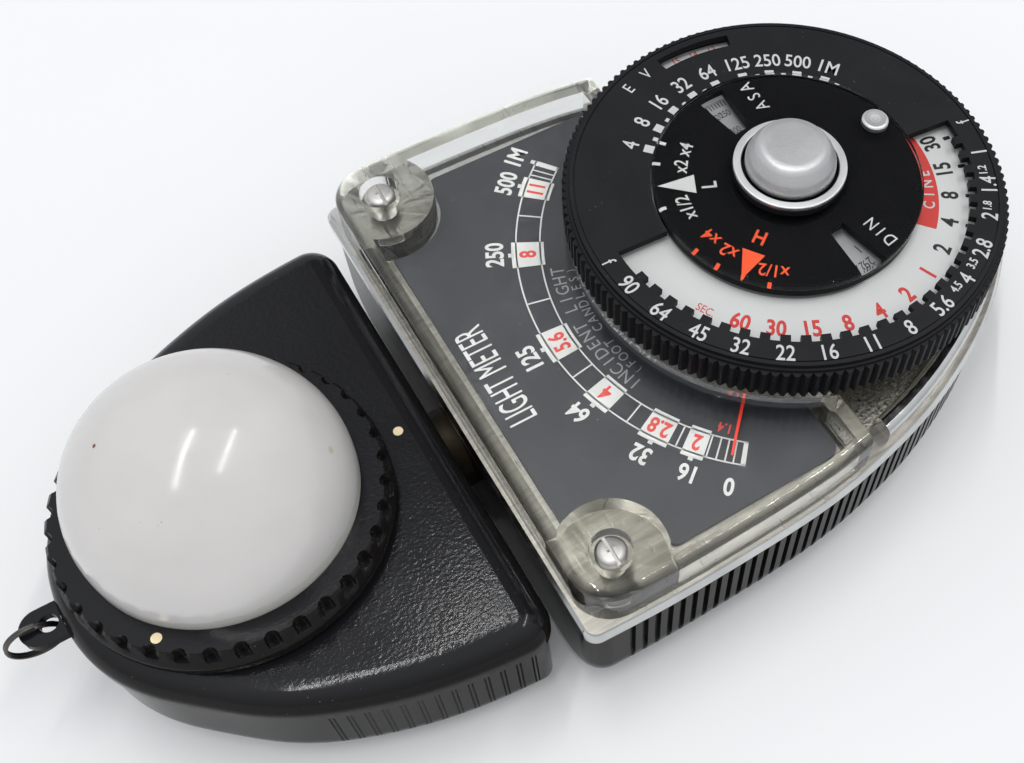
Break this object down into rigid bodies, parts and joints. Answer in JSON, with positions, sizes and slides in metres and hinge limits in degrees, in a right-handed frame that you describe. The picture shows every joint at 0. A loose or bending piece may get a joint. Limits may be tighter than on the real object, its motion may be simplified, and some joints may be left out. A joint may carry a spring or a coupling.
{
  "type": "light meter",
  "caption": "Handheld incident light meter with a swivelling domed head, a needle scale under a clear window and a round exposure calculator with a push button.",
  "frame": {"origin": "on the dial and movement axis, at the flat back of the case", "axes": "+Z out of the dial face, +Y towards the head, +X across the case"},
  "size_m": [0.0588, 0.1143, 0.0356],
  "materials": {
    "case_black": "semi-gloss black moulding",
    "chrome": "bright chrome with fine wear",
    "blasted": "blasted metal",
    "scale_black": "satin black with printed scale",
    "clear": "clear acrylic",
    "steel": "plain steel",
    "dial_black": "satin black dial",
    "dial_white": "satin white dial",
    "aluminium": "turned aluminium",
    "brass": "plain brass",
    "gold_pin": "polished brass pin",
    "opal": "opal white satin plastic",
    "needle_red": "red paint",
    "coil_copper": "enamelled copper winding",
    "magnet": "bare magnet alloy",
    "soft_iron": "plated soft iron",
    "cell_dark": "dark selenium coating",
    "insulator": "brown fibre board",
    "ring_steel": "darkened steel wire"
  },
  "bodies": {
    "case": {"rear_case": "case_black", "face_frame": "chrome", "dish_plate": "blasted", "scale_plate": "scale_black", "window": "clear", "window_screws": "steel", "dial_base": "blasted", "case_screws": "steel", "yoke_ring": "soft_iron", "core_magnet": "magnet", "core_spacers": "brass", "bridge_top": "brass", "bridge_bottom": "brass", "upper_bearing": "brass", "lower_bearing": "brass", "bridge_screws": "steel", "movement_screws": "steel", "spring_studs": "brass", "hairspring_top": "brass", "hairspring_bottom": "brass", "swivel_bush": "ring_steel", "swivel_washer": "steel", "swivel_nut": "brass", "dial_post": "aluminium", "dial_washer": "steel", "collar_base": "dial_black", "collar_ring": "aluminium"},
    "zero_screw": {"zero_adjuster": "steel"},
    "head": {"head_front_shell": "case_black", "head_rear_shell": "case_black", "head_screws": "steel", "head_index_pin": "gold_pin", "cell_holder": "dial_black", "cell_backing": "insulator", "cell_disc": "cell_dark", "cell_contact_ring": "brass", "strap_lug": "case_black"},
    "strap_link": {"strap_ring": "ring_steel"},
    "receptor": {"receptor_ring": "case_black", "ring_index_pin": "gold_pin", "diffuser_dome": "opal"},
    "movement": {"needle": "needle_red", "counterweight": "brass", "pivot_staff": "steel", "moving_coil": "coil_copper", "spring_collets": "brass"},
    "outer_dial": {"dial_ring": "dial_black", "dial_plate": "dial_black"},
    "time_disc": {"speed_disc": "dial_white"},
    "pointer": {"pointer_dial": "clear", "pointer_print": "dial_black", "pointer_knob": "aluminium"},
    "button": {"center_button": "aluminium", "button_stem": "steel", "brake_yoke": "steel", "button_spring": "steel"}
  },
  "joints": [
    {"name": "head_swivel", "type": "hinge", "parent": "case", "child": "head", "pos_m": [0, 0.0423, 0.0085], "axis": [0, 1, 0], "range_deg": [-90, 180]},
    {"name": "strap_ring_swing", "type": "hinge", "parent": "head", "child": "strap_link", "pos_m": [0, 0.0835, 0.0136], "axis": [0, 1, 0], "range_deg": [-20, 20]},
    {"name": "receptor_turn", "type": "hinge", "parent": "head", "child": "receptor", "pos_m": [0, 0.0635, 0.0172], "axis": [0, 0, 1], "range_deg": [-45, 0]},
    {"name": "needle_swing", "type": "hinge", "parent": "case", "child": "movement", "pos_m": [0, 0, 0.018], "axis": [0, 0, 1], "range_deg": [-98, 3], "stiffness_Nm_per_rad": 0.000005, "deforming": ["hairspring_top", "hairspring_bottom"]},
    {"name": "outer_dial_turn", "type": "hinge", "parent": "case", "child": "outer_dial", "pos_m": [0, 0, 0.0255], "axis": [0, 0, 1], "continuous": true},
    {"name": "pointer_turn", "type": "hinge", "parent": "case", "child": "pointer", "pos_m": [0, 0, 0.028], "axis": [0, 0, 1], "range_deg": [-150, 150]},
    {"name": "film_speed_turn", "type": "hinge", "parent": "pointer", "child": "time_disc", "pos_m": [0, 0, 0.0262], "axis": [0, 0, 1], "range_deg": [-61, 67]},
    {"name": "button_press", "type": "slide", "parent": "case", "child": "button", "axis": [0, 0, -1], "range_m": [0, 0.001], "stiffness_N_per_m": 800, "springref_m": -0.001, "deforming": ["button_spring"]},
    {"name": "zero_adjust_turn", "type": "hinge", "parent": "case", "child": "zero_screw", "pos_m": [0, 0, 0.001], "axis": [0, 0, 1], "range_deg": [-30, 30]}
  ]
}
